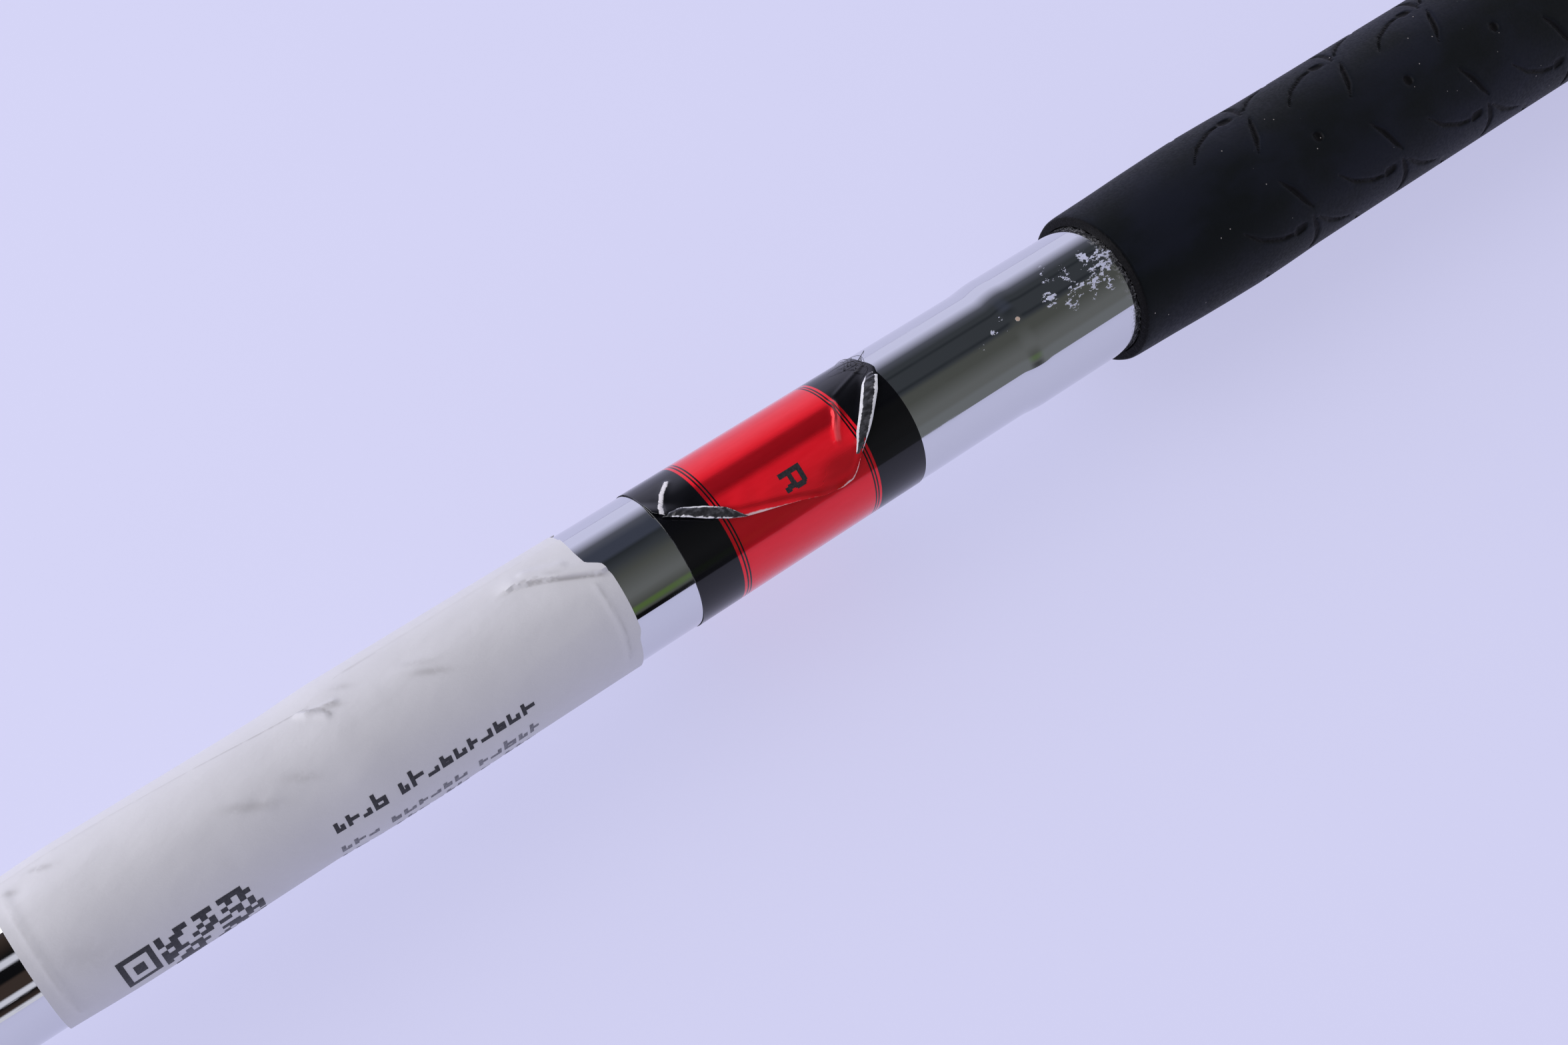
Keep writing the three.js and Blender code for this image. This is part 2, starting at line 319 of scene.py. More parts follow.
# Where the chrome has flaked off in clusters, as (along, turn, radius in mm, amount).
FLAKING = (
    (43.1, -15, 2.2, 0.9), (41.5, -8, 1.8, 0.9), (38.7, -8, 1.5, 0.8), (39.0, -24, 1.3, 0.9),
    (35.3, -9.5, 1.1, 0.8), (37.2, 1.7, 0.9, 0.6), (40.3, 1.1, 1.2, 0.7), (42.6, 1.1, 1.2, 0.7),
    (41.9, -29, 1.0, 0.8), (36.6, -24, 0.8, 0.7), (29.4, -18.8, 0.6, 1.0), (27.8, -11.7, 0.45, 1.0),
    (29.2, -7.6, 0.3, 1.0), (36.9, -37, 0.9, 0.5), (25.6, -4, 0.8, 0.5),
)
TAN_CHIP = (30.9, -11.3, 0.32)
CHROME_TINT = (0.69, 0.70, 0.715, 1)
FLAKED_WHITE = (0.52, 0.54, 0.67, 1)
TAN = (0.45, 0.34, 0.26, 1)


def chrome_plate():
    """Bright chrome: hazed in patches, finely scratched, and flaking in clusters close to the grip."""
    paint = Paint("chrome_plate", Metallic=1.0)
    where = paint.node("ShaderNodeTexCoord").outputs["Object"]

    def closeness(along, turn, radius):
        """1 on a spot, falling to 0 at its radius."""
        spot = on_shaft(along, turn, shaft_radius(along))
        distance = paint.node("ShaderNodeVectorMath", {0: where, 1: spot}, operation="DISTANCE")
        return paint.rest(paint.math("DIVIDE", distance.outputs["Value"], radius * MM))

    near = 0.0
    for along, turn, radius, amount in FLAKING:
        near = paint.math("MAXIMUM", near, paint.product(closeness(along, turn, radius), amount))
    ragged = paint.noise(0.33, 4.0, (0.6, 1, 1), 0.72)
    patches = paint.between(paint.noise(1.1, 2.0, (0.6, 1, 1)), 0.35, 0.65, -0.12, 0.06)
    wanted = paint.math("ADD", paint.math("ADD", ragged, patches), paint.product(near, 0.19))
    wear_and_sheen = paint.product(paint.between(wanted, 0.61, 0.64), paint.between(near, 0.02, 0.12))
    colour = paint.mix(wear_and_sheen, CHROME_TINT, FLAKED_WHITE)
    tan = paint.between(closeness(*TAN_CHIP), 0.15, 0.3)
    colour = paint.mix(tan, colour, TAN)
    wear_and_sheen = paint.math("MAXIMUM", wear_and_sheen, tan)
    crumbs = paint.between(paint.noise(0.35, 4.0, roughness=0.7), 0.52, 0.60)
    grime = paint.product(crumbs, paint.between(paint.fact("along"), MOUTH - 1.5, MOUTH - 0.1))
    paint.drive("Base Color", paint.mix(grime, colour, (0.004, 0.004, 0.004, 1)))
    paint.drive("Metallic", paint.rest(paint.math("MAXIMUM", wear_and_sheen, grime)))
    haze = paint.between(paint.noise(4.0, 4.0, (0.45, 1, 1)), 0.42, 0.72, 0.02, 0.14)
    paint.drive("Roughness", paint.blend(wear_and_sheen, haze, 0.6))
    scratches = paint.between(paint.noise(0.25, 2.0, (0.06, 1, 1)), 0.68, 0.74)
    paint.bump(scratches, 0.002, 0.35)
    paint.bump(wear_and_sheen, 0.02, 0.6)
    return paint.material


def satin_steel():
    """The head's satin plating, brushed from heel to toe, with light bag marks."""
    paint = Paint("satin_steel", Metallic=1.0)
    tone = paint.noise(9.0, 4.0)
    paint.drive("Base Color", paint.mix(tone, (0.60, 0.61, 0.63, 1), (0.72, 0.73, 0.75, 1)))
    grain = paint.noise(0.22, 3.0, (1, 0.08, 1))
    marks = paint.between(paint.noise(1.1, 5.0, (0.3, 1, 1)), 0.66, 0.72)
    satin = paint.between(grain, 0.3, 0.7, 0.24, 0.38)
    paint.drive("Roughness", paint.math("ADD", satin, paint.product(marks, 0.15)))
    paint.bump(grain, 0.006, 0.5)
    paint.bump(marks, -0.01, 0.5)
    return paint.material


# The rubber's own black, and a lighter blue for its painted sheen.
RUBBER_BLACK = (0.0042, 0.0056, 0.0062, 1)
RUBBER_SHEEN_BLUE = (0.0075, 0.0090, 0.0150, 1)


def grip_rubber():
    """Black moulded rubber with a lighter blue painted sheen in soft patches, dust in specks, and painted
    shade in its pressed-in grooves.
    """
    paint = Paint("grip_rubber", Specular_IOR_Level=0.09)
    # Painted sheen: soft patches of lighter blue laid over the black.
    sheen_patches = paint.noise(7.0, 4.0, (0.6, 1, 1))
    wear_and_sheen = paint.mix(paint.between(sheen_patches, 0.35, 0.7), RUBBER_BLACK, RUBBER_SHEEN_BLUE)
    # Painted shade: the pressed-in grooves are darkened in the colour, and the same mask also presses them in
    # with a bump.
    groove = paint.between(paint.fact("groove"), -0.12, 0.14)
    with_groove_shade = paint.mix(groove, wear_and_sheen, (0.003, 0.003, 0.0035, 1))
    end_face = paint.between(paint.fact("along"), MOUTH + 0.45, MOUTH + 0.1)
    with_groove_shade = paint.mix(end_face, with_groove_shade, (0.0015, 0.0015, 0.0018, 1))
    dust = paint.cells(1.7)
    chosen = paint.between(paint.noise(9.0, 1.0), 0.44, 0.56)
    speck = paint.product(paint.between(dust, 0.050, 0.028), chosen)
    paint.drive("Base Color", paint.mix(speck, with_groove_shade, (0.40, 0.37, 0.34, 1)))
    fine = paint.noise(0.35, 4.0)
    paint.drive("Roughness", paint.between(fine, 0.3, 0.7, 0.46, 0.6))
    paint.bump(fine, 0.03, 0.35)
    paint.bump(paint.noise(2.4, 2.0), 0.05, 0.4)
    paint.bump(groove, -0.2, 0.7)
    paint.bump(paint.product(paint.noise(0.5, 4.0, roughness=0.7), end_face), 0.25, 0.8)
    return paint.material


RED_ENDS = (-8.37, 8.94)
PINSTRIPES = (-7.96, -7.60, 8.22, 8.56)


def metallised_film():
    """Clear-coated film: red with black ends, and two black pinstripes just inside each end."""
    paint = Paint("metallised_film", Coat_Weight=0.7, Coat_Roughness=0.06, Specular_IOR_Level=0.08)
    along = paint.fact("along")
    haze = paint.fact("haze")
    start, end = RED_ENDS
    past_start = paint.between(along, start - 0.03, start + 0.03)
    red = paint.product(past_start, paint.between(along, end + 0.03, end - 0.03))
    for stripe in PINSTRIPES:
        from_stripe = paint.math("ABSOLUTE", paint.math("SUBTRACT", along, stripe))
        red = paint.product(red, paint.between(from_stripe, 0.07, 0.11))
    streaks = paint.noise(0.45, 3.0, (0.22, 1, 1))
    red_tone = paint.mix(streaks, (0.78, 0.007, 0.016, 1), (0.88, 0.014, 0.028, 1))
    printed = paint.mix(red, (0.0025, 0.0025, 0.0035, 1), red_tone)
    ragged = paint.product(paint.noise(0.3, 4.0, roughness=0.7), 0.3)
    cracked = paint.between(paint.math("ADD", paint.fact("crease"), ragged), 0.42, 0.32)
    rim = paint.between(paint.math("SUBTRACT", paint.fact("rim"), ragged), -0.13, -0.02)
    bare = paint.math("MAXIMUM", cracked, paint.product(rim, 0.75))
    glint = paint.between(paint.fact("glint"), 0.30, 0.03, 0.0, 0.16)
    printed = paint.mix(glint, printed, (0.85, 0.45, 0.47, 1))
    paint.drive("Base Color", paint.mix(bare, printed, (0.72, 0.70, 0.71, 1)))
    foil = paint.blend(haze, 0.72, 0.12)
    paint.drive("Metallic", paint.product(foil, paint.product(red, paint.rest(bare))))
    paint.drive("Roughness", paint.blend(red, 0.3, paint.blend(haze, 0.17, 0.45)))
    paint.bump(paint.noise(1.6, 2.0, (0.5, 1, 1)), 0.05, 0.35)
    paint.bump(bare, 0.05, 0.7)
    return paint.material


def curled_film():
    """The lifted corners of the film: its dull dark back, cracked white along the folds."""
    paint = Paint("curled_film", Coat_Weight=0.6, Coat_Roughness=0.15, Roughness=0.35)
    edge = paint.fact("edge")
    flecks = paint.noise(0.5, 4.0, (0.5, 1, 1), 0.7)
    cracked = paint.between(paint.math("ADD", edge, paint.product(flecks, 1.6)), 1.30, 1.46)
    grey = paint.between(flecks, 0.4, 0.8)
    back = paint.mix(grey, (0.012, 0.012, 0.014, 1), (0.11, 0.11, 0.12, 1))
    paint.drive("Base Color", paint.mix(cracked, back, (0.74, 0.74, 0.75, 1)))
    paint.bump(flecks, 0.08, 0.8)
    return paint.material


def label_paper():
    """Matte stock-label paper, a little yellowed, with grain, grey smudges, and painted shade along its
    creases, seam and ends.
    """
    paint = Paint("label_paper", Specular_IOR_Level=0.25)
    tone = paint.mix(paint.noise(14.0, 3.0), (0.575, 0.570, 0.585, 1), (0.635, 0.630, 0.645, 1))
    # Grey from smudges, and painted shade along the creases, seam, lifted lip and ends.
    smudge_and_shade = paint.product(paint.fact("smudge_and_shade"), paint.between(paint.noise(0.8, 4.0), 0.22, 0.55))
    paint.drive("Base Color", paint.mix(smudge_and_shade, tone, (0.38, 0.37, 0.37, 1)))
    paint.drive("Roughness", paint.between(paint.noise(1.0, 2.0), 0.3, 0.7, 0.58, 0.74))
    paint.bump(paint.noise(0.16, 3.0), 0.012, 0.5)
    paint.bump(paint.noise(2.2, 4.0, (0.6, 1, 1)), 0.14, 0.7)
    return paint.material


def printing_ink(name, colour):
    paint = Paint(name, Roughness=0.5)
    thin = paint.between(paint.noise(0.22, 3.0), 0.35, 0.65)
    lighter = [min(1.0, value * 1.9 + 0.01) for value in colour] + [1]
    paint.drive("Base Color", paint.mix(thin, (*colour, 1), lighter))
    return paint.material


def polished_plastic():
    """Turned black plastic with faint circular tool marks."""
    paint = Paint("polished_plastic", Base_Color=(0.008, 0.008, 0.009, 1))
    rings = paint.noise(0.12, 2.0, (1, 0.02, 0.02))
    paint.drive("Roughness", paint.between(rings, 0.3, 0.7, 0.16, 0.26))
    paint.bump(rings, 0.003, 0.4)
    return paint.material


def badge_plastic():
    """A blank dark plate with a fine leather-like grain."""
    paint = Paint("badge_plastic", Metallic=0.3)
    grain = paint.cells(0.7)
    paint.drive("Base Color", paint.mix(paint.noise(5.0), (0.02, 0.021, 0.024, 1), (0.04, 0.041, 0.046, 1)))
    paint.drive("Roughness", paint.between(grain, 0.0, 0.6, 0.32, 0.5))
    paint.bump(grain, 0.04, 0.5)
    return paint.material


def hidden_finish(name, first, second, roughness, metallic=0.0):
    """A plain mottled finish for a piece that is out of sight inside the club."""
    paint = Paint(name, Roughness=roughness, Metallic=metallic)
    paint.drive("Base Color", paint.mix(paint.noise(1.5, 4.0), first, second))
    paint.bump(paint.noise(0.4, 3.0), 0.02, 0.5)
    return paint.material


CHROME = chrome_plate()
STEEL = satin_steel()
RUBBER = grip_rubber()
FILM = metallised_film()
CURLED = curled_film()
PAPER = label_paper()
BLACK_INK = printing_ink("black_ink", (0.008, 0.008, 0.010))
GREY_INK = printing_ink("grey_ink", (0.10, 0.10, 0.11))

# ------------ shaft

TIP_CHAMFER = 0.3


def make_shaft():
    """The stepped tube, with rings set close together only where a step bends its surface."""
    stops = {TIP, CAP_START, TIP + 0.4}
    for step in (FIRST_STEP, *STEPS):
        stops.update(step + STEP_RUN * (part / 10 - 0.6) for part in range(13))
    stops.update(np.arange(TIP + 5, CAP_START, 12.0))
    along = np.array(sorted(stops))
    wall = np.interp(along, [SECOND_STEP - 230, SECOND_STEP], [0.65, 0.42])
    radius = shaft_radius(along)
    inner = list(zip(along, radius - wall))
    radius[0] -= TIP_CHAMFER
    outline = list(zip(along, radius)) + inner[::-1]
    piece = turned("shaft_tube", outline, 192, CHROME)
    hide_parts("shaft")


# ------------ grip

# The sleeve's outline as (mm past its mouth, radius): a rounded lip, a slight bulge, then a slow flare.
GRIP_OUTLINE = (
    (0, 8.45), (0.12, 8.66), (0.4, 8.79), (1.0, 8.84), (6, 9.0), (10.6, 9.19), (15, 9.33), (19.5, 9.44),
    (24, 9.4), (29, 9.31), (38, 9.33), (50, 9.37), (63, 9.44), (115, 9.95), (165, 10.75), (216, 11.7),
    (248, 12.6), (CAP_START - MOUTH, 13.2),
)
PATTERN_MIDDLE = -6.1
PATTERN_PITCH = 14.95
PATTERN_RADIUS = 9.4
PATTERN_START = MOUTH + 14.75
PATTERN_END = CAP_START - 12
# Strokes of one motif: (mm past its start, degrees from the pattern's middle line), then half widths in mm.
STROKES = (
    (((0, 30), (2.4, 42), (5.4, 50), (7.1, 52)), (0.10, 0.22, 0.26, 0.22)),
    (((8.0, 51.5), (8.9, 51.3)), (0.62, 0.5)),
    (((7.0, 12), (8.3, 22), (9.4, 32.5), (10.5, 41)), (0.10, 0.34, 0.30, 0.10)),
    (((10.4, 48), (10.9, 55), (11.4, 63), (11.6, 72), (11.6, 81)), (0.16, 0.36, 0.38, 0.34, 0.24)),
    (((11.3, 51), (13.4, 61), (15.2, 67), (17.1, 71)), (0.14, 0.28, 0.24, 0.10)),
    (((3.6, 74), (4.4, 80), (5.1, 86), (5.6, 90)), (0.10, 0.26, 0.30, 0.30)),
    (((14.8, 0), (14.81, 0)), (0.62, 0.62)),
)
GROOVE_DEPTH = 0.26
# The bore is wider past the mouth, where the double-sided tape is.
SNUG_BORE = BUTT_RADIUS + 0.1
TAPE_BORE = BUTT_RADIUS + 0.42


def stroke_samples():
    """Close-set (along, turn, half width) samples of every groove on the grip, all round."""
    samples = []
    pitches = int((PATTERN_END - PATTERN_START) / PATTERN_PITCH)
    for path, widths in STROKES:
        marks = np.linspace(0, len(path) - 1, 40 * (len(path) - 1) + 1)
        stops = np.arange(len(path))
        reach = np.interp(marks, stops, [point[0] for point in path])
        turn = np.interp(marks, stops, [point[1] for point in path])
        width = np.interp(marks, stops, widths)
        for pitch in range(pitches):
            start = PATTERN_START + pitch * PATTERN_PITCH
            for flip in (turn, -turn, 180 - turn, 180 + turn):
                samples.append(np.stack([start + reach, PATTERN_MIDDLE + flip, width], -1))
    return np.concatenate(samples)


def groove_field(along, turn):
    """How far inside a groove each place is, in mm: negative outside one."""
    samples = stroke_samples()
    centres = on_shaft(samples[:, 0], samples[:, 1], PATTERN_RADIUS)
    tree = KDTree(len(centres))
    for index, centre in enumerate(centres):
        tree.insert(centre, index)
    tree.balance()
    places = on_shaft(along, turn, PATTERN_RADIUS).reshape(-1, 3)
    field = np.full(len(places), -1.0)
    for index, place in enumerate(places):
        found = tree.find_n(place, 4)
        field[index] = max(samples[mark][2] - distance / MM for _, mark, distance in found)
    return np.maximum(field, -1.0).reshape(np.shape(along))


def make_grip():
    """The moulded sleeve, with its grooves and dimples pressed into the surface."""
    end = CAP_START - MOUTH - 0.1
    lip = [0, 0.06, 0.12, 0.25, 0.4, 0.7]
    fine = np.arange(1.0, 76, 0.3)
    coarse = np.arange(76, end - 0.3, 0.78)
    reach = np.concatenate([lip, fine, coarse, [end]])
    sides = 200
    along, turn = np.meshgrid(MOUTH + reach, np.arange(sides) * 360 / sides, indexing="ij")
    field = groove_field(along, turn)
    pressed = GROOVE_DEPTH * soft_step(field, -0.12, 0.3)
    rng = np.random.default_rng(7)
    phases = rng.uniform(0, 2 * math.pi, 6)
    sway = sum(np.sin(along / (6 + 3 * k) + (k % 3) * np.radians(turn) + phases[k]) for k in range(6))
    radius = np.interp(along - MOUTH, *np.transpose(GRIP_OUTLINE)) - pressed + 0.012 * sway
    outer = on_shaft(along, turn, radius)
    bore, bore_turn = np.meshgrid(MOUTH + np.array([end, 40, 20, 7.4, 6.6, 0]), turn[0], indexing="ij")
    bore_radius = np.where(bore > MOUTH + 7, TAPE_BORE, SNUG_BORE)
    points = np.concatenate([outer, on_shaft(bore, bore_turn, bore_radius)])
    faces = grid_faces(len(points) + 1, sides, joined=True) % (len(points) * sides)
    facts = {"along": np.concatenate([along, bore]), "groove": np.concatenate([field, 0 * bore - 1])}
    piece = mesh_piece("grip_sleeve_moulded", points, faces, RUBBER, facts)
    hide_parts("grip_sleeve")


def make_cap():
    """The butt cap: a rounded rim, a shallow ring groove and the vent hole."""
    start = CAP_START + 0.1
    end = BUTT
    vent = 1.4
    outline = [
        (start, vent), (start, 13.2), (start + 1.3, 13.6), (end - 2.2, 13.6), (end - 0.7, 13.0),
        (end, 11.6), (end, 8.6), (end - 0.5, 8.3), (end - 0.5, 7.7), (end, 7.4), (end, 2.6),
        (end - 0.6, 2.0), (end - 0.6, vent),
    ]
    piece = turned("grip_cap_moulded", rounded(outline, 0.25), 144, cap_rubber())
    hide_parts("grip_cap")


def cap_rubber():
    """The same rubber as the sleeve, without its grooves."""
    paint = Paint("cap_rubber", Specular_IOR_Level=0.09)
    # Painted sheen: soft patches of lighter blue laid over the black.
    sheen_patches = paint.noise(6.0, 4.0)
    paint.drive("Base Color", paint.mix(sheen_patches, RUBBER_BLACK, RUBBER_SHEEN_BLUE))
    fine = paint.noise(0.35, 4.0)
    paint.drive("Roughness", paint.between(fine, 0.3, 0.7, 0.5, 0.64))
    paint.bump(fine, 0.03, 0.4)
    return paint.material


# ------------ flex band

FILM_START_TURN = -75
FILM_LAP = 0.07
FILM_THICKNESS = 0.04
FILM_UNDER = BAND_RADIUS + 0.045 + FILM_THICKNESS
# The film's free end, as (along, turn) points: it has lifted and folded back at both corners.
FILM_EDGE = (
    (-13.4, -33), (-12.8, -27), (-11.9, -20.5), (-9.6, -8), (-7.6, 0.6), (-6.0, 6), (-4.2, 9.7),
    (-2.9, 12.1), (-0.15, 17.7), (2.5, 24.6), (4.6, 27), (6.0, 26), (6.8, 21.5), (7.9, 11.5), (8.9, 4.6),
    (10.0, -3.6), (11.5, -12.9), (12.9, -23.3), (14.3, -32.1), (14.8, -40),
)
LEFT_FOLD = ((-12.9, -26), (-11.9, -20.5), (-9.6, -8), (-7.6, 0.6), (-5.6, 7))
LEFT_FREE = ((-12.5, -26.6), (-10.9, -24.2), (-9.1, -16.6), (-7.2, -7.2), (-5.8, 5.6))
RIGHT_FOLD = ((14.45, -41), (14.3, -32), (13.1, -21.2), (10.3, -2.2), (7.7, 13))
RIGHT_FREE = ((13.5, -38), (12.2, -31.5), (10.3, -17), (8.5, -3.2), (7.3, 11))
LEFT_CREASE = ((-9.9, -52.5), (-11.2, -44), (-12.4, -32.6), (-12.8, -26))
RED_CREASE = ((8.6, -33), (7.9, -22), (6.8, -12), (6.4, -6))
BLACK_CREASE = ((9.4, -38), (12, -45), (14.3, -51))
# Width in mm of the bare white line along the free end, as (along, width) points.
FILM_RIM = (
    (-8, 0), (-6, 0.28), (-4.2, 0.30), (-2.5, 0.14), (0, 0.05), (3.5, 0.03), (5.4, 0.24), (7, 0.16), (8, 0),
)
# Scuffing of the top layer, as (turn, amount) points.
FILM_HAZE = (
    (-95, 0.3), (-62, 0.4), (-50, 0.9), (-38, 1.0), (-32, 0.05), (-20, 0.0), (-14, 0.9), (-3, 1.0),
    (10, 0.7), (30, 0.5),
)


def inside_edge(along, turn):
    """How far inside the film's free end each place is, in mm round the shaft."""
    return BAND_RADIUS * np.radians(np.interp(along, *np.transpose(FILM_EDGE)) - turn)


def ridge(distance, height, width):
    """A rounded ridge along a line, from the distance to the line."""
    return height * np.exp(-((distance / width) ** 2))


def film_top(along, turn):
    """Radius of the film's top layer, which lies over its own start and rises to its free end."""
    base = FILM_UNDER + FILM_LAP * soft_step(turn, -86, -70)
    inside = inside_edge(along, turn)
    corners = 0.22 * soft_step(along, -8, -12.5) + 0.30 * soft_step(along, 6.5, 9) + 0.10
    lift = corners * soft_step(inside, 2.4, 0.0)
    creases = ridge(path_distance(along, turn, LEFT_CREASE), 0.12, 0.3)
    creases += ridge(path_distance(along, turn, RED_CREASE), 0.20, 0.35)
    creases += ridge(path_distance(along, turn, BLACK_CREASE), 0.07, 0.18)
    ripple = 0.035 * np.sin(along * 1.9 + turn * 0.16) * soft_step(inside, 4.5, 0.5)
    return base + lift + creases + ripple


def make_band():
    """One strip of film, wound once round from under its own free end."""
    reach = np.linspace(BAND_START, BAND_END, 141)
    along, share = np.meshgrid(reach, np.linspace(0, 1, 240) ** 0.9, indexing="ij")
    whole = 360 + np.interp(along, *np.transpose(FILM_EDGE)) - FILM_START_TURN
    turn = FILM_START_TURN + share * whole
    top_turn = turn - 360
    second_lap = soft_step(turn, 265, 285)
    radius = FILM_UNDER * (1 - second_lap) + film_top(along, top_turn) * second_lap
    on_top = turn > 250
    inside = inside_edge(along, top_turn)
    rim = np.interp(along, *np.transpose(FILM_RIM)) - inside
    facts = {
        "along": along,
        "crease": np.where(on_top, path_distance(along, top_turn, LEFT_CREASE), 9.0),
        "rim": np.where(on_top, rim, -9.0),
        "haze": film_haze(along, turn, inside),
        "glint": np.where(on_top, path_distance(along, top_turn, RED_CREASE), 9.0),
    }
    piece = shell("flex_band_film", along, turn, radius, radius - FILM_THICKNESS, FILM, facts)
    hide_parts("flex_band")


def film_haze(along, turn, inside):
    """Where the foil's clear film is scuffed and glows red instead of mirroring the dark room."""
    top = np.interp(turn - 360, *np.transpose(FILM_HAZE))
    fades = 1 - 0.8 * soft_step(along, 1.5, 5.5) * soft_step(turn - 360, -2, 9)
    folds = 0.5 + 0.5 * np.cos(inside * 5.2 + along * 0.35)
    near_edge = soft_step(inside, 2.0, 0.4)
    top = top * fades * (1 - near_edge) + near_edge * folds * (0.3 + 0.7 * soft_step(along, 3, -1))
    under = np.interp(turn, (0, 34, 40, 200), (0.05, 0.05, 0.2, 0.25))
    return np.where(turn > 250, top, under)


def along_path(path, share):
    """The (along, turn) places at shares of the way through a path's points."""
    stops = np.linspace(0, 1, len(path))
    return [np.interp(share, stops, values) for values in np.transpose(path)]


def make_flap(name, fold, free, height, bareness):
    """A corner of the film, folded back over itself from the fold line to its free edge."""
    share, across = np.meshgrid(np.linspace(0, 1, 72), np.linspace(0, 1, 18), indexing="ij")
    fold_along, fold_turn = along_path(fold, share)
    free_along, free_turn = along_path(free, share)
    out = across - 0.16 * np.sin(math.pi * np.minimum(across * 2.2, 1))
    along = fold_along + out * (free_along - fold_along)
    turn = fold_turn + out * (free_turn - fold_turn)
    swell = np.sin(math.pi * share) ** 0.5
    rise = height * swell * (0.55 + 0.75 * np.sin(math.pi * (0.12 + 0.75 * across)))
    rough = 0.05 * np.sin(share * 37 + across * 4) * np.sin(share * 19 + 1.3)
    radius = BAND_RADIUS + 0.24 + rise + rough * swell
    near_edges = np.maximum(soft_step(across, 0.44, 0.2), soft_step(across, 0.74, 0.92))
    edge = near_edges * bareness * (0.35 + 0.65 * swell)
    piece = shell(name, along, turn, radius, radius - 0.05, CURLED, {"edge": edge})


def make_fibres():
    """Loose fibres at the frayed upper end of the band."""
    rng = np.random.default_rng(3)
    thickness = 0.045
    sides = 5
    share = np.linspace(0, 1, 14)
    round_it = np.arange(sides) * 2 * math.pi / sides
    taper = thickness * (1.15 - share[:, None])
    points = []
    faces = []
    for count in range(13):
        start = rng.uniform(12.4, 15.0), rng.uniform(-62, -44)
        along = start[0] + rng.uniform(-2.6, 1.2) * share + 0.5 * np.sin(share * rng.uniform(2, 5))
        turn = start[1] + rng.uniform(-16, 12) * share
        height = BAND_RADIUS + 0.16 + rng.uniform(0.25, 0.7) * np.sin(math.pi * share * 0.9)
        tube_turn = turn[:, None] + np.degrees(taper * np.cos(round_it) / BAND_RADIUS)
        points.append(on_shaft(along[:, None], tube_turn, height[:, None] + taper * np.sin(round_it)))
        faces.append(grid_faces(len(share), sides, joined=True, first=count * len(share) * sides))
    piece = mesh_piece("band_fibres", np.stack(points), np.concatenate(faces), BLACK_INK)


# ------------ printed marks

INK_STAND = 0.018


def print_patch(low_along, high_along, low_turn, high_turn, radius_of):
    """A small patch of ink that follows the surface below it, as points and faces."""
    rows = max(2, int((high_along - low_along) / 0.5) + 2)
    columns = max(2, int(abs(high_turn - low_turn) / 4) + 2)
    reach = np.linspace(low_along, high_along, rows)
    along, turn = np.meshgrid(reach, np.linspace(low_turn, high_turn, columns), indexing="ij")
    points = on_shaft(along, turn, radius_of(along, turn) + INK_STAND)
    return points.reshape(-1, 3), grid_faces(rows, columns, joined=False)


def print_marks(name, patches, radius_of, material):
    """Many patches of ink as one piece. A patch is (low along, high along, low turn, high turn)."""
    points = []
    faces = []
    first = 0
    for patch in patches:
        patch_points, patch_faces = print_patch(*patch, radius_of)
        points.append(patch_points)
        faces.append(patch_faces + first)
        first += len(patch_points)
    piece = mesh_piece(name, np.concatenate(points), np.concatenate(faces), material)


def make_flex_letter():
    """The generic flex letter R, in plain strokes: up is along the shaft and right is turning down."""
    foot = -0.98
    head = 1.6
    left = -7.3
    right = 9.4
    stroke = 0.55
    bowl = 0.3
    wide = math.degrees(stroke / (BAND_RADIUS + 0.1))
    waist = head - 1.72
    strokes = (
        (foot, head, left, left + wide),
        (head - stroke, head, left, right - 0.6 * wide),
        (waist, waist + 0.9 * stroke, left, right - 0.6 * wide),
        (waist + bowl, head - bowl, right - wide, right),
        (waist + bowl / 2, head - bowl / 2, right - wide, right - 0.3 * wide),
        (foot + 0.4, waist + stroke, right - 1.5 * wide, right - 0.5 * wide),
        (foot, foot + 0.6, right - 1.2 * wide, right - 0.2 * wide),
    )
    print_marks("flex_letter", strokes, film_top, BLACK_INK)


# ------------ paper label

LABEL_RADIUS = 7.4
LABEL_TURNS = 405
# Where the printed top layer ends, as (along, turn) points.
SEAM = (
    (-80, -63), (-68, -62), (-60, -57), (-52, -50), (-49, -47), (-47, -55), (-44, -61), (-26, -62),
    (-19, -60),
)
# The label's end by the band, as (turn, along) points: its corner is folded back on the far side.
LABEL_CORNER = (
    (-95, -21.5), (-40, -21.7), (-27, -21.6), (-20, -20.4), (-10, -20.1), (36, -20.2), (44, -20.6),
    (95, -20.6),
)
# Soft folds, as path of (along, turn), height and half width in mm.
LABEL_FOLDS = (
    (((-26.8, -46), (-23.5, -36)), 0.16, 0.45),
    (((-50.5, -45), (-48.5, -32)), 0.20, 0.30),
    (((-50, -41), (-47.3, -38)), 0.18, 0.28),
    (((-22.0, -8), (-21.9, 30), (-22.2, 55)), 0.06, 0.35),
    (((-77.9, -50), (-78.1, 0), (-77.8, 60)), 0.07, 0.40),
    (((-66, -20), (-57, -10), (-49, -13)), 0.05, 1.4),
    (((-44, -30), (-36, -22)), 0.05, 1.2),
)
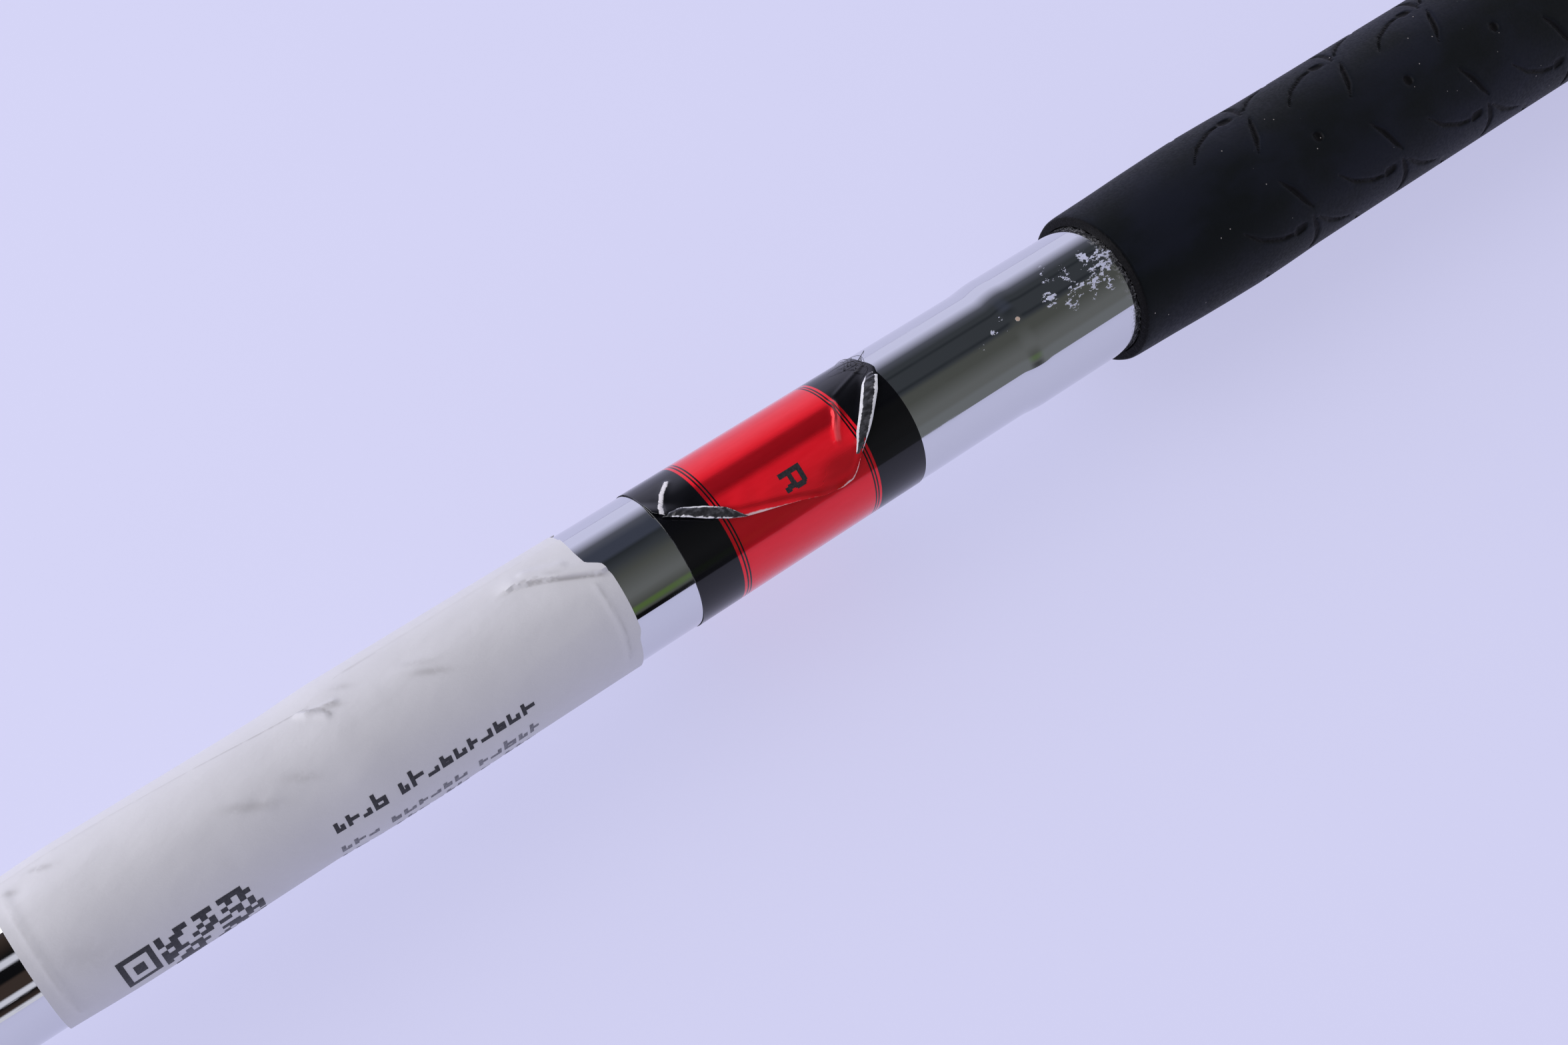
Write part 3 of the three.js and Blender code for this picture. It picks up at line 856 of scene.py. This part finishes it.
# Smudges, as along, turn, half length and half width in mm, and strength.
SMUDGES = (
    (-74.5, -51, 1.0, 0.35, 0.9), (-77.5, -47, 0.6, 0.35, 0.8), (-58, -6, 1.9, 0.55, 0.7),
    (-53, -4, 1.2, 0.5, 0.55), (-39, -19, 1.6, 0.4, 0.75), (-39.6, -30, 1.2, 0.4, 0.4),
    (-46, -46, 0.8, 0.4, 0.5), (-75, 20, 2.2, 1.6, 0.3), (-47.6, -36, 0.9, 0.3, 0.6),
    (-24.6, -33, 0.7, 0.3, 0.5),
)
# The lifted lip by the band: it rises gently from above and drops steeply below this line.
TUCK = ((-28, -40), (-26.5, -36), (-24, -26.5), (-20.6, -14.5))
# Painted shade: thin grey lines along the paper's creases, seam, lifted lip and ends, as (path, half width in
# mm, strength).
CREASE_SHADE_LINES = (
    (((-79, -62), (-68, -61), (-60, -56), (-52, -49.5), (-49.5, -46)), 0.10, 0.75),
    (((-49.8, -44), (-48.6, -38), (-48.2, -32)), 0.16, 0.9),
    (((-49.6, -40.5), (-47.4, -37.5)), 0.13, 0.8),
    (((-46, -59), (-40, -60), (-26, -61)), 0.09, 0.5),
    (((-27.0, -36.5), (-26.4, -34.5), (-24, -24.8), (-20.8, -12.6)), 0.16, 1.0),
    (((-27.6, -40.5), (-26.0, -37)), 0.12, 0.6),
    (((-21.9, -10), (-21.7, 30), (-22.0, 55)), 0.10, 0.35),
    (((-78.0, -50), (-78.2, 0), (-77.9, 60)), 0.12, 0.3),
)


def label_base(along):
    """The paper bridges the two steps below it instead of following them."""
    radius = BAND_RADIUS - 2 * LATER_DROP + 0.09
    for step in (STEPS[1], STEPS[0]):
        radius = radius + LATER_DROP * soft_step(along, step - 5, step + 2)
    return radius


def label_top(along, turn):
    """Radius of the printed top layer, with its creases."""
    seam = np.interp(along, *np.transpose(SEAM))
    past_seam = label_base(along) * np.radians(turn - seam)
    radius = label_base(along) + 0.16 + 0.10 * soft_step(past_seam, 3.0, 0.0)
    for path, height, width in LABEL_FOLDS:
        radius = radius + ridge(path_distance(along, turn, path, LABEL_RADIUS), height, width)
    above = turn < np.interp(along, *np.transpose(TUCK))
    radius = radius + ridge(path_distance(along, turn, TUCK, LABEL_RADIUS), 0.42, np.where(above, 1.3, 0.14))
    rng = np.random.default_rng(5)
    lumps = 0 * along
    for _ in range(70):
        centre, lump_turn = rng.uniform(LABEL_START, LABEL_END), rng.uniform(-70, 100)
        long, wide, height = rng.uniform(0.8, 3.5), rng.uniform(4, 16), rng.uniform(-0.05, 0.06)
        from_lump = np.hypot((along - centre) / long, (turn - lump_turn) / wide)
        lumps = lumps + ridge(from_lump, height, 1)
    return radius + lumps * soft_step(past_seam, 0, 2)


def smudge_and_crease_shade(along, turn):
    """How grey each place on the label is, from 0 to 1: grey smudges, and painted shade along the creases."""
    field = 0 * along
    for centre, middle_turn, long, wide, strength in SMUDGES:
        across = LABEL_RADIUS * np.radians(turn - middle_turn) - 0.45 * (along - centre)
        spot = ridge(np.hypot((along - centre) / long, across / wide), 0.75 * strength, 1)
        field = np.maximum(field, spot)
    # Painted shade along the creases, seam, lifted lip and ends.
    for path, width, strength in CREASE_SHADE_LINES:
        line = ridge(path_distance(along, turn, path, LABEL_RADIUS), strength, width)
        field = np.maximum(field, line)
    return field


def make_label():
    """One sheet, wound past its own start: the printed layer on top ends at a visible seam."""
    share_along, share = np.meshgrid(np.linspace(0, 1, 240), np.linspace(0, 1, 200), indexing="ij")
    along = LABEL_START + share_along * (LABEL_END - LABEL_START)
    turn = np.interp(along, *np.transpose(SEAM)) + share * LABEL_TURNS
    end = np.interp(np.where(turn > 265, turn - 360, turn), *np.transpose(LABEL_CORNER))
    along = LABEL_START + share_along * (end - LABEL_START)
    under_lap = soft_step(turn, 250, 290)
    radius = label_top(along, turn) * (1 - under_lap) + (label_base(along) + 0.04) * under_lap
    inner_radius = radius - 0.09 + 0.03 * under_lap
    facts = {"smudge_and_shade": smudge_and_crease_shade(along, turn)}
    piece = shell("paper_label_sheet", along, turn, radius, inner_radius, PAPER, facts)
    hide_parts("paper_label")


def greeked_line(start, end, low_turn, high_turn, rng, gaps):
    """A line of small blocks that only suggests print: no letter is drawn."""
    bar = 0.40
    patches = []
    along = start
    count = 0
    while along < end:
        width = rng.uniform(0.85, 1.35)
        top = low_turn + (high_turn - low_turn) * rng.choice([0.0, 0.28, 0.28, 0.34])
        waist = (top + high_turn) / 2
        style = count % 4
        if style != 2:
            patches.append((along, along + bar, top, high_turn))
        if style != 1:
            patches.append((along + width - bar, along + width, waist - 1, high_turn))
            patches.append((along, along + width, high_turn - 3.2, high_turn))
        if style in (1, 3):
            patches.append((along, along + width, waist - 1.6, waist + 1.6))
        count += 1
        along += width + (1.3 if count in gaps else 0.30)
    return patches


def code_block(rng):
    """A square of random blocks with one square target: it holds no data."""
    cell = 0.58
    turn_per_mm = 360 / (2 * math.pi * 6.95)
    target = 3.1
    rim = 0.5
    start = -73.7
    end = start + target
    top = 37.0
    foot = top + 1.2 * target * turn_per_mm
    rim_turn = rim * turn_per_mm
    inset_turn = (foot - top) * 0.34
    patches = [
        (start, end, top, top + rim_turn),
        (start, end, foot - rim_turn, foot),
        (start, start + rim, top, foot),
        (end - rim, end, top, foot),
        (start + 1.05, end - 1.05, top + inset_turn, foot - inset_turn),
    ]
    for column in range(6, 22):
        for row in range(12):
            if rng.uniform() < 0.5:
                along = start + column * cell
                turn = top + row * cell * turn_per_mm
                patches.append((along, along + cell, turn, turn + cell * turn_per_mm))
    return patches


def make_label_print():
    rng = np.random.default_rng(11)
    header = greeked_line(-53.0, -32.6, 31.5, 45.5, rng, {4})
    lines = []
    for low_turn in (58, 78, 98):
        lines += greeked_line(-53.2, -31.5, low_turn, low_turn + 12.5, rng, {3, 9, 14})
    print_marks("label_header_marks", header, label_top, BLACK_INK)
    print_marks("label_small_marks", lines, label_top, GREY_INK)
    print_marks("label_code_marks", code_block(rng), label_top, BLACK_INK)


# ------------ head, ferrule and badge

HEAD_VOXEL = 0.27 * MM
HEAD_FACES = 90000


def copy_of(node, name):
    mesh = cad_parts[node].data.copy()
    mesh.name = name
    piece = add_object(name, mesh)
    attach(piece, "root")
    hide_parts(node)
    return piece


def modify(piece, kind, **settings):
    set_up(piece.modifiers.new(kind, kind), settings)


def applied(piece):
    """Turns a piece's modifiers into its mesh, and returns the mesh."""
    graph = bpy.context.evaluated_depsgraph_get()
    done = bpy.data.meshes.new_from_object(piece.evaluated_get(graph))
    piece.modifiers.clear()
    piece.data = done
    return done


def refinish(mesh, material):
    mesh.materials.clear()
    mesh.materials.append(material)


def make_head():
    """The head as cast and finished: finely remeshed, with softened edges and neck."""
    piece = copy_of("club_head", "club_head_cast")
    modify(piece, "REMESH", mode="VOXEL", voxel_size=HEAD_VOXEL)
    mesh = applied(piece)
    places = np.empty(3 * len(mesh.vertices))
    mesh.vertices.foreach_get("co", places)
    from_origin = (places.reshape(-1, 3) - np.array(ORIGIN)) / MM
    along = from_origin @ np.array(ALONG)
    off_axis = np.linalg.norm(from_origin - along[:, None] * np.array(ALONG), axis=1)
    neck = soft_step(along, FERRULE_FOOT - 26, FERRULE_FOOT - 34) * soft_step(off_axis, 27, 15)
    group = piece.vertex_groups.new(name="neck")
    for index in np.nonzero(neck > 0.02)[0]:
        group.add([int(index)], float(neck[index]), "REPLACE")
    modify(piece, "SMOOTH", factor=0.6, iterations=110, vertex_group="neck")
    modify(piece, "SMOOTH", factor=0.5, iterations=4)
    modify(piece, "DECIMATE", ratio=min(1.0, HEAD_FACES / len(mesh.polygons)))
    mesh = applied(piece)
    piece.vertex_groups.clear()
    refinish(mesh, STEEL)
    mesh.shade_smooth()


def make_badge():
    piece = copy_of("cavity_badge", "cavity_badge_plate")
    modify(piece, "BEVEL", width=0.25 * MM, segments=3, limit_method="ANGLE")
    mesh = applied(piece)
    refinish(mesh, badge_plastic())
    mesh.shade_smooth()
    mesh.set_sharp_from_angle(angle=math.radians(35))


def make_ferrule():
    """A tapered collar with two turned rings at its foot."""
    foot = FERRULE_FOOT
    bore = TIP_RADIUS + 0.06
    outline = [
        (foot, bore), (foot, 6.6), (foot + 2.1, 6.58), (foot + 2.4, 6.25), (foot + 2.9, 6.25),
        (foot + 3.2, 6.5), (foot + 3.9, 6.48), (foot + 4.2, 6.18), (foot + 4.7, 6.18), (foot + 5.0, 6.4),
        (foot + 9, 6.27), (foot + 14, 6.0), (foot + 19, 5.65), (foot + 23, 5.32), (foot + 25, 5.1),
        (foot + 25, bore),
    ]
    piece = turned("ferrule_turned", rounded(outline, 0.12), 128, polished_plastic())
    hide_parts("ferrule")


def finish_hidden_nodes():
    finishes = {
        "grip_tape": hidden_finish("crepe_tape", (0.55, 0.48, 0.30, 1), (0.68, 0.62, 0.42, 1), 0.85),
        "hosel_glue": hidden_finish("cured_glue", (0.28, 0.22, 0.09, 1), (0.36, 0.29, 0.13, 1), 0.35),
        "tip_weight": hidden_finish("turned_brass", (0.58, 0.42, 0.17, 1), (0.68, 0.52, 0.24, 1), 0.3, 1.0),
    }
    for node, finish in finishes.items():
        refinish(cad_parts[node].data, finish)


# ------------ floor, light and camera

PALE = (0.61, 0.61, 0.86)
FLOOR_SIZE = 12.0
FLOOR_GLOW = 0.772


def make_floor():
    """A pale table, lit partly from within so that the shadows on it stay faint."""
    low, high = CAD_BOX
    centre = (low + high) / 2
    half = FLOOR_SIZE / 2
    mesh = bpy.data.meshes.new("floor")
    corners = [(-half, -half), (half, -half), (half, half), (-half, half)]
    mesh.from_pydata([(centre.x + x, centre.y + y, low.z) for x, y in corners], [], [(0, 1, 2, 3)])
    paint = Paint("pale_floor", Roughness=0.8, Specular_IOR_Level=0.2)
    mottle = paint.noise(40.0, 2.0)
    paint.drive("Base Color", paint.mix(mottle, (0.19, 0.19, 0.235, 1), (0.20, 0.20, 0.245, 1)))
    paint.drive("Emission Color", (*PALE, 1))
    paint.drive("Emission Strength", FLOOR_GLOW)
    paint.bump(paint.noise(0.5, 3.0), 0.03, 0.25)
    mesh.materials.append(paint.material)
    floor = add_object("floor", mesh)


GREY = (0.17, 0.18, 0.19)
ASH = (0.142, 0.148, 0.148)
DARK = (0.084, 0.088, 0.081)
CLOUD = (0.045, 0.050, 0.058)
LINE = (0.026, 0.03, 0.036)
BLUE_CLOUD = (0.055, 0.062, 0.09)
DUSK = (0.10, 0.105, 0.135)
LIGHT = (0.75, 0.75, 1.0)
GREEN = (0.095, 0.15, 0.05)
BROWN = (0.05, 0.035, 0.03)
BLACK = (0.006, 0.006, 0.007)
WHITE = (0.75, 0.75, 0.85)
# The room round the shaft, as (degrees, colour): zero is level towards the camera's side, 90 overhead.
# It changes along the shaft, so each part is for directions past a share of the way to the butt.
ROOM = (
    (-1.0, (
        (0, WHITE), (5, WHITE), (8, BROWN), (17, BLACK), (20, WHITE), (25, WHITE), (28, BROWN),
        (44, BROWN), (48, BLACK), (62, BLACK), (66, WHITE), (72, WHITE), (76, BLACK), (100, BROWN),
        (136, DUSK), (152, LIGHT),
    )),
    (0.02, (
        (0, BLACK), (6, BLACK), (9, DARK), (14, GREEN), (18, GREEN), (22, DARK), (36, ASH), (42, ASH),
        (70, DARK), (88, CLOUD), (100, LINE), (106, BLUE_CLOUD), (122, BLUE_CLOUD), (136, DUSK), (157, LIGHT),
    )),
    (0.35, (
        (0, GREY), (16, GREY), (22, ASH), (34, ASH), (58, DARK), (72, DARK), (79, CLOUD), (83, LINE),
        (87, CLOUD), (108, CLOUD), (112, LINE), (116, CLOUD), (122, CLOUD), (135, DUSK), (158, LIGHT),
    )),
)
SCREEN_TINT = (0.80, 0.79, 0.93)
# Large pale screens past both ends of the club, as (direction along X, colour).
SCREENS = ((-1, 1.15), (-0.42, 1.15), (-0.24, 0), (0.66, 0), (0.84, 0.95), (1, 0.95))


def ramp(nodes, value, stops):
    """Colours along a value, from (position, colour) stops."""
    made = nodes.node("ShaderNodeValToRGB", {0: value})
    elements = made.color_ramp.elements
    elements.remove(elements[1])
    elements[0].position = stops[0][0]
    elements[0].color = (*stops[0][1], 1)
    for position, colour in stops[1:]:
        elements.new(position).color = (*colour, 1)
    return made.outputs[0]


def make_surroundings():
    """A dim room over the table, pale screens past both ends of the club, and a pale backdrop."""
    world = bpy.data.worlds.new("studio")
    bpy.context.scene.world = world
    world.use_nodes = True
    nodes = Nodes(world.node_tree)
    where = nodes.node("ShaderNodeTexCoord").outputs["Generated"]
    way = nodes.node("ShaderNodeSeparateXYZ", {0: where}).outputs
    turn = nodes.math("ARCTAN2", way["Z"], nodes.product(way["Y"], -1.0))
    share = nodes.math("DIVIDE", turn, math.pi)
    room = None
    for reach, stops in ROOM:
        part = ramp(nodes, share, [(degrees / 180, colour) for degrees, colour in stops])
        if room is None:
            room = part
        else:
            past = nodes.between(way["X"], reach - 0.06, reach + 0.06)
            room = nodes.mix(past, room, part)
    half_x = nodes.math("ADD", nodes.product(way["X"], 0.5), 0.5)
    peak = max(bright for _, bright in SCREENS)
    levels = [((x + 1) / 2, [bright / peak * value for value in SCREEN_TINT]) for x, bright in SCREENS]
    screens = ramp(nodes, half_x, levels)
    inputs = {0: screens, 1: (peak, peak, peak), 2: room}
    whole = nodes.node("ShaderNodeVectorMath", inputs, operation="MULTIPLY_ADD").outputs[0]
    seen = nodes.node("ShaderNodeLightPath").outputs["Is Camera Ray"]
    nodes.feed(nodes.tree.nodes["Background"].inputs["Color"], nodes.mix(seen, whole, (*PALE, 1)))


def make_key_light():
    """One soft light, above and behind the band and to the head's side of it."""
    light = bpy.data.lights.new("key", "AREA")
    light.shape = "SQUARE"
    light.size = 1.2
    light.energy = 9.0
    light.color = (1.0, 0.99, 1.0)
    lamp = add_object("key", light)
    way = Vector((-0.62, 0.42, 0.66)).normalized()
    lamp.location = ORIGIN + way
    lamp.rotation_euler = way.to_track_quat("Z", "Y").to_euler()


def make_camera():
    """The photo's own view: close to the band, from the head's side of it, and level with the shaft."""
    data = bpy.data.cameras.new("camera")
    data.lens = 42.1
    data.sensor_width = 36
    data.clip_start = 0.01
    camera = add_object("camera", data)
    camera.location = ORIGIN + MM * (171.6 * FRONT - 66.8 * ALONG)
    target = ORIGIN + MM * 3.4 * SIDE
    camera.rotation_euler = (target - camera.location).to_track_quat("-Z", "Y").to_euler()
    bpy.context.scene.camera = camera


make_shaft()
make_grip()
make_cap()
make_band()
make_flap("band_left_corner", LEFT_FOLD, LEFT_FREE, 0.34, 0.72)
make_flap("band_right_corner", RIGHT_FOLD, RIGHT_FREE, 0.36, 1.2)
make_fibres()
make_flex_letter()
make_label()
make_label_print()
make_head()
make_badge()
make_ferrule()
finish_hidden_nodes()
make_floor()
make_surroundings()
make_key_light()
make_camera()
bpy.context.scene.view_settings.view_transform = "Standard"
